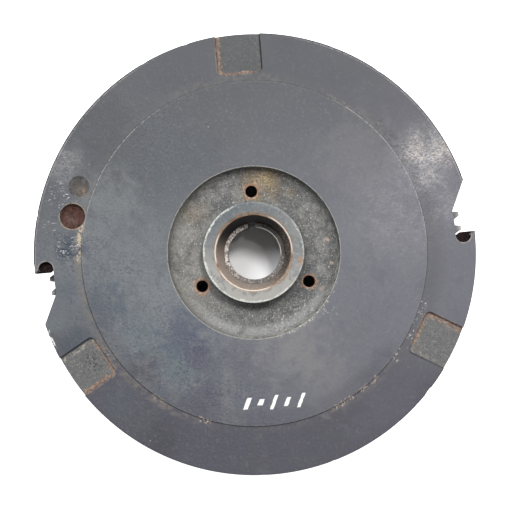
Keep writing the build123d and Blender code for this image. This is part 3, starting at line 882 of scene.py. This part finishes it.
def dusty_dish(p, grit):
    """Grey casting, paler at the left, with a painted highlight on the lower fillet and on the lip at the
    lower right, painted shade below the boss and along the top, stained brown.
    """
    p.colour = p.mix(p.noise(5, 4, 0.65, 0.4, seed=10).rise(0.4, 0.62), DISH_GREY, DISH_PALE)
    p.over(p.along(202).rise(8, 42) * 0.6, (0.215, 0.207, 0.19))
    # Painted highlight on the lower fillet
    glow = p.r.band(DISH_R - 4.0, 1.5, 3.5) * p.bearing(277).band(0, 38, 26)
    p.over(glow * 0.72, (0.228, 0.231, 0.236))
    # Painted shadow of the boss on the dish's floor
    under = p.r.fall(DISH_R - 8, DISH_R - 3) * p.bearing(272).band(0, 48, 24)
    p.over(under * 0.4, (0.05, 0.054, 0.059))
    # Painted shade along the top of the dish
    p.over(p.along(74).rise(28, 48) * 0.48, (0.036, 0.038, 0.042))
    p.over(p.patches.rise(0.52, 0.62) * 0.5, (0.046, 0.05, 0.057))
    stain = p.spots((39, 82, 5, 17, 1.0), (42, 143, 2, 13, 0.5), (40, 56, 1, 5, 0.5))
    p.over((stain * p.patches.rise(0.34, 0.54)).least(1.0) * 0.85, DISH_BROWN)
    p.over(p.near(42, 80).fall(1, 9) * grit.rise(0.42, 0.6) * 0.7, (0.3, 0.22, 0.11))
    p.over(grit.rise(0.54, 0.7) * 0.75, (0.25, 0.245, 0.225))
    p.over(grit.fall(0.32, 0.45) * 0.6, (0.03, 0.03, 0.03))
    salt = p.noise(0.8, 2, 0.6, seed=44)
    p.over(salt.rise(0.58, 0.66) * 0.55, (0.36, 0.35, 0.31))
    p.over(salt.fall(0.34, 0.42) * 0.4, (0.04, 0.038, 0.035))
    blotches = p.spots((41.5, 7, 0.8, 2.6, 1.0), (44, 350, 0.5, 1.6, 1.0), (43, 330, 0.5, 2.0, 0.6))
    p.flake(blotches.least(1.0) * 0.8, 0.42, 0.52, (0.36, 0.27, 0.22))
    p.over(p.cells(3.0, seed=14).fall(0.1, 0.18) * 0.7, (0.42, 0.41, 0.37))
    crust = p.spots((42, 290, 3, 16, 1.0), (43, 312, 1, 10, 1.0))
    p.flake(crust * 0.75, 0.55, 0.62, (0.36, 0.35, 0.32))
    # Painted highlight on the lip at the lower right, broken up in patches
    edge_light = p.r.rise(DISH_R - 1.6, DISH_R - 0.6) * p.bearing(308).band(0, 40, 30)
    p.over(edge_light * p.ragged.rise(0.1, 0.7) * 0.7, (0.32, 0.31, 0.27))
    lip = p.r.rise(DISH_R - 0.7, DISH_R - 0.35) * p.z.rise(DISC_Z - 1.4, DISC_Z - 0.6)
    p.over(lip * grit.rise(0.34, 0.52) * 0.8, (0.34, 0.34, 0.31))


def puller_holes(p, dish, grit):
    """Rusty mouths, dark inside."""
    red = p.mix(p.z.rise(DISH_Z - 5, DISH_Z - 1), (0.01, 0.006, 0.005), (0.115, 0.038, 0.026))
    below = p.z.fall(DISH_Z - 0.9, DISH_Z - 0.3)
    for angle in PULLER_ANGLES:
        d = p.near(PULLER_PCD / 2, angle)
        rim = (d - p.ragged * 1.9).fall(PULLER_R + 0.1, PULLER_R + 1.1) * dish
        p.over(rim * grit.rise(0.34, 0.54) * 0.85, (0.225, 0.122, 0.075))
        p.flake(rim * 0.7, 0.5, 0.6, (0.36, 0.26, 0.2))
        p.over(d.fall(PULLER_R + 0.3, PULLER_R + 0.5) * below, red)


def painted_boss(p, grit):
    """Clean paint, lighter towards the right and the bottom, a painted highlight along the corner, rust
    round the mouth.
    """
    top = p.r.fall(BOSS_R - 0.1, BOSS_R + 0.1) * p.z.rise(DISH_Z + 4, DISH_Z + 5)
    blots = p.noise(3.4, 4, 0.65, 0.6, seed=38)
    paint = p.coated(
        (0.078, 0.089, 0.101),
        (p.patches.rise(0.4, 0.6), (0.111, 0.121, 0.127)),
        (p.along(5).rise(2, 26) * 0.45, (0.175, 0.176, 0.172)),
        (p.along(258).rise(-10, 20) * 0.88, (0.27, 0.262, 0.246)),
        (blots.rise(0.48, 0.62) * p.along(285).rise(-16, 20) * 0.6, (0.27, 0.265, 0.245)),
        (blots.fall(0.36, 0.46) * 0.45, (0.07, 0.078, 0.088)),
        (grit.rise(0.52, 0.66) * 0.4, (0.26, 0.26, 0.26)),
    )
    p.over(top, paint)
    corner = (p.r + p.ragged * 0.9).band(BOSS_R + 0.2, 0.5, 0.6) * p.z.rise(BOSS_Z - 2.0, BOSS_Z - 0.8)
    # Painted highlight along the corner, strongest at the left and the bottom
    edge_light = p.arcs((165, 38, 25, 1.0), (262, 44, 25, 1.0), (5, 18, 20, 0.4)).least(1.0)
    p.over(corner * (edge_light * 0.8 + 0.15) * grit.rise(0.34, 0.54), (0.46, 0.47, 0.44))
    spot = p.near(26.6, 347).fall(0.8, 3.2) * top * p.ragged.rise(0.25, 0.45)
    p.over(spot, (0.3, 0.15, 0.075))
    mouth = p.r.fall(MOUTH_R + 0.5, MOUTH_R + 2.0) * top
    p.over(mouth * p.ragged.rise(0.15, 0.75) * 0.75, (0.155, 0.108, 0.076))


def oily_counterbore(p, grit):
    """Oily wall, painted lighter on its lower-left and left sides and painted dark with shade on its upper
    side, with a rusty turned lip that has a painted glint; returns where the lip is.
    """
    wall = p.r.fall(MOUTH_R - 0.1, MOUTH_R + 0.1) * p.z.rise(SEAT_Z + 0.3, SEAT_Z + 0.8)
    lip = wall * p.z.rise(BOSS_Z - 1.6, BOSS_Z - 1.0)
    glint = p.arcs((172, 14, 12, 1.0), (30, 24, 16, 1.0), (250, 34, 16, 0.8)).least(1.0)
    # The oily wall's colour, with painted light and painted shade in it
    oil = p.coated(
        OIL_BROWN,
        (p.ragged * 0.5 + p.turned(0.8).rise(0.5, 0.7) * 0.3, (0.11, 0.072, 0.048)),
        # Painted light on the wall's lower-left and left sides
        (p.along(228).rise(-8, 16) * 0.92, (0.42, 0.34, 0.29)),
        (p.along(178).rise(8, 19) * 0.45, (0.56, 0.47, 0.4)),
        # Painted shade on the wall's upper side
        (p.along(95).rise(-2, 15), (0.006, 0.004, 0.005)),
        (grit.rise(0.5, 0.6) * p.along(300).rise(-10, 8) * 0.85, (0.46, 0.42, 0.37)),
        (grit.fall(0.36, 0.46) * 0.6, (0.03, 0.022, 0.018)),
        (lip, p.mix(p.ragged, (0.22, 0.13, 0.08), (0.4, 0.31, 0.24))),
        # Painted glint along the lip
        (p.r.band(MOUTH_R - 0.45, 0.18, 0.25) * lip * glint * 0.95, (0.8, 0.72, 0.64)),
    )
    p.over(wall, oil)
    return lip


def bare_seat(p, grit):
    """Scratched metal of the nut seat and the taper, with a painted highlight along the taper's edge;
    returns where it is and how much of it shines.
    """
    metal = p.r.fall(SEAT_R + 0.2, SEAT_R + 0.5) * p.z.fall(SEAT_Z + 0.2, SEAT_Z + 0.5)
    scratches = p.noise(1.4, 3, 0.7, 1.5, seed=25).rise(0.44, 0.58)
    shine = scratches * (p.along(155).rise(-2, 12) * 0.85 + 0.15)
    # Painted highlight along the taper's edge at the upper right
    edge = p.r.band(TAPER_R + 0.35, 0.12, 0.25) * p.arc(40, 36, 14)
    p.over(metal, p.coated(
        (0.052, 0.044, 0.04),
        (shine, BARE), (grit.rise(0.56, 0.64) * 0.7, (0.36, 0.34, 0.31)), (edge * 0.9, (0.62, 0.6, 0.56)),
    ))
    return metal, shine


def dish_and_boss():
    """Finish of everything within the dish's lip."""
    p = Worn("dish_and_boss", 14)
    grit = p.noise(1.3, 3, 0.75, seed=9)
    dish = p.r.rise(BOSS_R, BOSS_R + 0.3)

    dusty_dish(p, grit)
    puller_holes(p, dish, grit)
    painted_boss(p, grit)
    lip = oily_counterbore(p, grit)
    metal, shine = bare_seat(p, grit)

    p.bump(p.noise(2.2, 3, 0.6, 0.8, seed=28) * (dish * 0.5 + 0.05), 0.55)
    roughness = p.blend((metal + lip * 0.8).least(1.0), 0.66, 0.36)
    return p.finish(roughness, metal * shine * 0.8 + lip * 0.15, specular=0.3)


def painted_underside():
    """Dull paint over cast iron, with dust, oil creeping out from the hub and rust on the skirt."""
    p = Worn("painted_underside", 16)
    grit = p.noise(1.3, 3, 0.75, seed=9)
    p.colour = p.mix(p.patches.rise(0.4, 0.6), (0.042, 0.042, 0.047), (0.066, 0.064, 0.064))
    p.over(grit.rise(0.54, 0.7) * 0.5, (0.13, 0.125, 0.115))
    oily = (p.r + p.patches * 40).fall(42, 62)
    p.over(oily * 0.7, (0.02, 0.016, 0.014))
    skirt = p.r.rise(SKIRT_BORE_R, SKIRT_BORE_R + 2)
    p.over(skirt * p.ragged * p.patches.rise(0.46, 0.58) * 0.8, (0.12, 0.062, 0.038))
    p.over(p.cells(3.0, seed=14).fall(0.08, 0.16) * 0.5, (0.26, 0.24, 0.21))
    p.bump(p.noise(2.0, 3, 0.6, 0.8, seed=28), 0.16)
    p.bump(grit, 0.04)
    return p.finish(p.blend(p.patches, 0.48, 0.72) - oily * 0.2, specular=0.35)


def painted_shade_pocket():
    """Painted shade in the knot pockets: near black, with a little flaked variation, and hardly shining."""
    p = Worn("painted_shade_pocket", 16)
    # Painted shade: near black, as the pockets lie in shadow
    p.colour = (0.008, 0.005, 0.006)
    p.flake(1.0, 0.4, 0.62, (0.02, 0.012, 0.012))
    return p.finish(0.8, specular=0.05)


FACE, DISH, UNDERSIDE, POCKET = range(4)
POCKET_CENTRES = [polar(POCKET_CENTRE_R, hook - POCKET_LAG) for hook in HOOK_ANGLES]


def zone(x, y, z):
    """Which finish a point of the body has."""
    r = math.hypot(x, y)
    from_pocket = min(math.dist((x, y), centre) for centre in POCKET_CENTRES)
    if from_pocket < POCKET_R + 0.25 and FLANGE_Z < z < RING_Z - 0.8:
        return POCKET
    if r < DISH_R and (z > DISH_Z - 9 or r < HUB_R - 5):
        return DISH if z > HUB_WEB_Z or r < TAPER_R + 4 else UNDERSIDE
    return FACE if z > FLANGE_Z + 0.5 else UNDERSIDE


def paint_body(body):
    """Gives each face of the body the finish of its zone."""
    body.data.materials.clear()
    for material in (painted_face(), dish_and_boss(), painted_underside(), painted_shade_pocket()):
        body.data.materials.append(material)
    for face in body.data.polygons:
        face.material_index = zone(*(c / MM for c in face.center))


def toned(name, dark, light, size=7.0):
    """A material begun with two cloudy tones and a fine grain, and those two patterns."""
    p = Paint(name)
    clouds = p.noise(size, 4, 0.62, 0.5, seed=3)
    fine = p.noise(0.7, 3, 0.65, seed=5)
    p.colour = p.mix(clouds.rise(0.38, 0.62), dark, light)
    p.over(fine.fall(0.3, 0.46) * 0.5, tuple(c * 0.6 for c in dark))
    p.over(fine.rise(0.54, 0.7) * 0.5, tuple(min(1.0, c * 1.5) for c in light))
    return p, clouds, fine


def gear_steel():
    """Hardened teeth: bright where a pinion has rubbed, with old grease in the roots."""
    p, clouds, fine = toned("gear_steel", (0.074, 0.072, 0.070), (0.128, 0.126, 0.122))
    r = p.radius()
    rubbed = r.rise(TIP_R - 2.6, TIP_R - 0.6) * fine.rise(0.36, 0.58)
    p.over(rubbed * 0.55, (0.34, 0.33, 0.32))
    p.over(r.fall(TIP_R - 5.5, TIP_R - 3.5) * 0.75, (0.026, 0.02, 0.017))
    p.over(ragged_edge(p) * clouds.rise(0.46, 0.6) * 0.6, (0.115, 0.066, 0.042))
    p.bump(fine, 0.05)
    return p.finish(p.blend(clouds, 0.42, 0.6), rubbed * 0.6 + 0.25)


def ferrite(name):
    """Sintered magnet: dark, finely porous, with ground stripes and clinging filings."""
    p, clouds, fine = toned(name, (0.03, 0.03, 0.033), (0.052, 0.051, 0.053))
    ground = p.turned(0.5).rise(0.5, 0.62)
    p.over(ground * 0.4, (0.085, 0.084, 0.086))
    filings = p.noise(1.1, 3, 0.75, 0.6, seed=16).rise(0.6, 0.68) * clouds.rise(0.45, 0.6)
    p.over(filings * 0.7, (0.15, 0.12, 0.1))
    p.bump(fine, 0.06)
    return p.finish(p.blend(clouds, 0.48, 0.66), 0.15)


def turned_metal(name, dark, light, rust, amount):
    """Bright sheet metal with fine lines round the axis, dulled in clouds and freckled with rust."""
    p, clouds, fine = toned(name, dark, light, 12.0)
    lines = p.turned(0.3)
    p.over(lines.fall(0.38, 0.52) * 0.35, tuple(c * 0.5 for c in dark))
    freckles = p.cells(3.6, seed=22).fall(0.1, 0.22) * clouds.rise(0.42, 0.58)
    stain = (freckles + ragged_edge(p) * clouds.rise(0.52, 0.64)).least(1.0) * amount
    p.over(stain, rust)
    p.bump(lines, 0.015)
    p.bump(fine, 0.02)
    return p.finish(p.blend(clouds, 0.3, 0.46) + stain * 0.2, 0.95 - stain * 0.7)


def zinc_screws():
    """Yellow zinc plate, rubbed to grey and rusty in places."""
    p, clouds, fine = toned("screw_steel", (0.30, 0.235, 0.120), (0.50, 0.430, 0.270), 2.5)
    rubbed = clouds.rise(0.54, 0.62)
    p.over(rubbed * 0.6, (0.44, 0.43, 0.41))
    rust = ragged_edge(p).rise(0.3, 0.9) * 0.5
    p.over(rust, (0.15, 0.072, 0.036))
    p.bump(fine, 0.03)
    return p.finish(p.blend(clouds, 0.32, 0.5) + rust * 0.2, 0.9 - rust)


def moulded_black(name):
    """Black moulding: fine spark texture under a film of brown dust and oil."""
    p, clouds, fine = toned(name, (0.014, 0.014, 0.015), (0.024, 0.024, 0.025), 5.0)
    p.over(ragged_edge(p) * 0.3, (0.06, 0.046, 0.036))
    p.over(p.cells(2.6, seed=23).fall(0.08, 0.15) * 0.5, (0.16, 0.15, 0.14))
    p.bump(fine, 0.05)
    return p.finish(p.blend(clouds, 0.36, 0.58))


# ------------ pieces

def place_body():
    body = make_body()
    paint_body(body)
    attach(body, "root")
    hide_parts("flywheel_body")


def dress_cad_nodes():
    """Each CAD node that still shows gets the finish of its material slot."""
    looks = {
        "gear_steel": gear_steel(),
        "ferrite": ferrite("ferrite"),
        "trigger_ferrite": ferrite("trigger_ferrite"),
        "spacer_plastic": moulded_black("spacer_plastic"),
        "liner_steel": turned_metal(
            "liner_steel", (0.34, 0.33, 0.32), (0.54, 0.53, 0.51), (0.15, 0.075, 0.042), 0.6,
        ),
        "keeper_aluminium": turned_metal(
            "keeper_aluminium", (0.36, 0.36, 0.36), (0.58, 0.58, 0.58), (0.115, 0.100, 0.085), 0.5,
        ),
        "screw_steel": zinc_screws(),
        "carrier_plastic": moulded_black("carrier_plastic"),
    }
    slots = {s["node"]: s["material_slot"] for s in frame["record"]["subparts"]}
    for node, piece in frame["nodes"].items():
        if slots[node] in looks:
            for slot in piece.material_slots:
                slot.material = looks[slots[node]]


# ------------ floor, light and camera

CAMERA_HEIGHT = 600.0            # above the machined ring
CAMERA_TILT = 2.5                # degrees from straight above
CAMERA_SIDE = -59.7              # direction it stands off to, from +X
CAMERA_ROLL = 2.7                # the wheel is turned this far anticlockwise in the view
AIM = (0.62, -1.45)              # point of the ring's plane in the middle of the view
VIEW_WIDTH = 285.5               # width of the ring's plane that the view takes in
SENSOR_WIDTH = 36.0

FLOOR_HALF = 1500.0
PAPER, PAPER_GLOW = (0.71, 0.71, 0.72), 1.05
WHITE = (1.0, 1.0, 1.0)
ROOM_LIGHT = 0.42
# Name, bearing, tilt from straight above, distance, size, power and colour of each lamp
LAMPS = (
    ("lamp_right", 61, 22, 2500, 400, 47.0, (1.0, 0.985, 0.96)),
    ("lamp_left", 126, 26, 2500, 620, 34.0, (0.97, 0.985, 1.0)),
    ("lamp_sheen", 38, 16.5, 950, 60, 1.0, (1.0, 0.97, 0.93)),
)


def white_floor():
    """White paper, lit right through outside the wheel's outline."""
    corners = [(x * FLOOR_HALF, y * FLOOR_HALF, 0) for x, y in ((-1, -1), (1, -1), (1, 1), (-1, 1))]
    floor = mesh_object("floor", corners, [(0, 1, 2, 3)])
    p = Paint("white_floor")
    p.colour = PAPER
    glow = p.radius().rise(90, 115) * PAPER_GLOW
    p.plug(p.surface, {"Emission Color": WHITE, "Emission Strength": glow})
    floor.data.materials.append(p.finish(0.8, specular=0.2))


def lamp(name, bearing, tilt, distance, size, power, colour):
    """Round soft lamp over the wheel. Bearing is in the view: 90 is its top edge."""
    data = bpy.data.lights.new(name, "AREA")
    data.shape = "DISK"
    data.size = size * MM
    data.energy = power
    data.color = colour
    piece = bpy.data.objects.new(name, data)
    flat = polar(distance * math.sin(math.radians(tilt)), bearing - CAMERA_ROLL)
    place = Vector((*flat, RING_Z + distance * math.cos(math.radians(tilt))))
    aim = Vector((0, 0, RING_Z)) - place
    piece.rotation_euler = aim.to_track_quat("-Z", "Y").to_euler()
    piece.location = place * MM
    bpy.context.scene.collection.objects.link(piece)


def light_room():
    world = bpy.data.worlds.new("room")
    bpy.context.scene.world = world
    world.use_nodes = True
    background = world.node_tree.nodes["Background"]
    background.inputs["Color"].default_value = (*WHITE, 1.0)
    background.inputs["Strength"].default_value = ROOM_LIGHT


def set_camera():
    """Camera almost straight above the wheel."""
    data = bpy.data.cameras.new("camera")
    data.sensor_width = SENSOR_WIDTH
    data.lens = SENSOR_WIDTH * CAMERA_HEIGHT / VIEW_WIDTH
    data.clip_start, data.clip_end = 0.05, 20.0
    camera = bpy.data.objects.new("camera", data)
    aim = Vector((*AIM, RING_Z))
    side = polar(math.sin(math.radians(CAMERA_TILT)), CAMERA_SIDE)
    back = Vector((*side, math.cos(math.radians(CAMERA_TILT))))
    up = Vector((*polar(1, 90 - CAMERA_ROLL), 0))
    right = up.cross(back).normalized()
    turn = Matrix((right, back.cross(right), back)).transposed()
    camera.matrix_world = Matrix.Translation((aim + back * CAMERA_HEIGHT) * MM) @ turn.to_4x4()
    bpy.context.scene.collection.objects.link(camera)
    bpy.context.scene.camera = camera


bpy.context.scene.view_settings.view_transform = "Standard"
place_body()
dress_cad_nodes()
white_floor()
light_room()
for row in LAMPS:
    lamp(*row)
set_camera()
